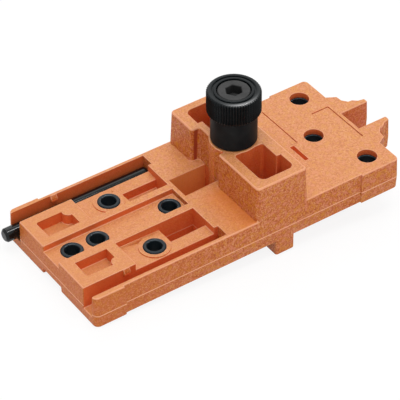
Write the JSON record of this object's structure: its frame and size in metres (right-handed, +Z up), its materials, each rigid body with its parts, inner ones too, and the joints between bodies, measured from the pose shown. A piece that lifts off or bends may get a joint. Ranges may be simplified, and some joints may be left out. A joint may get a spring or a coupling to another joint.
{
  "type": "drilling jig",
  "caption": "Furniture drilling jig: a moulded body with steel drill bushes, a rear fence bar, sliding stop rod, and a knurled clamp knob on a screw.",
  "frame": {"origin": "on the underside, on the centre plane, where the underside meets the fence bar's front face", "axes": "+X to the rear prongs, +Y to the side that holds the stop rod, +Z up along the drill bushes"},
  "size_m": [0.16, 0.0626, 0.0601],
  "materials": {
    "body_plastic": "satin moulded, fine mottled grain",
    "bush_steel": "turned and blackened",
    "insert_brass": "turned",
    "knob_steel": "turned, knurled and blackened",
    "screw_steel": "black oxide",
    "rod_steel": "ground and blackened"
  },
  "bodies": {
    "jig_body": {"jig_body": "body_plastic", "threaded_insert": "insert_brass", "row_bush_left": "bush_steel", "row_bush_right": "bush_steel", "middle_bush_front": "bush_steel", "middle_bush_centre": "bush_steel", "middle_bush_rear": "bush_steel", "plate_bush_left": "bush_steel", "plate_bush_right": "bush_steel", "plate_bush_middle": "bush_steel"},
    "sleeve": {"spacer_sleeve": "knob_steel"},
    "knob": {"clamp_knob": "knob_steel", "clamp_screw": "screw_steel"},
    "rod": {"stop_rod": "rod_steel"}
  },
  "joints": [
    {"name": "sleeve_lift", "type": "slide", "parent": "jig_body", "child": "sleeve", "axis": [0, 0, 1], "range_m": [0, 0.005]},
    {"name": "knob_turn", "type": "hinge", "parent": "sleeve", "child": "knob", "pos_m": [0.0026, 0.0016, 0.0433], "axis": [0, 0, 1], "range_deg": [0, 1440]},
    {"name": "rod_slide", "type": "slide", "parent": "jig_body", "child": "rod", "axis": [-1, 0, 0], "range_m": [-0.0002, 0.035]}
  ],
  "couplings": [
    {"joint": "knob_turn", "follows": "sleeve_lift", "rad_per_m": 5026.5}
  ]
}
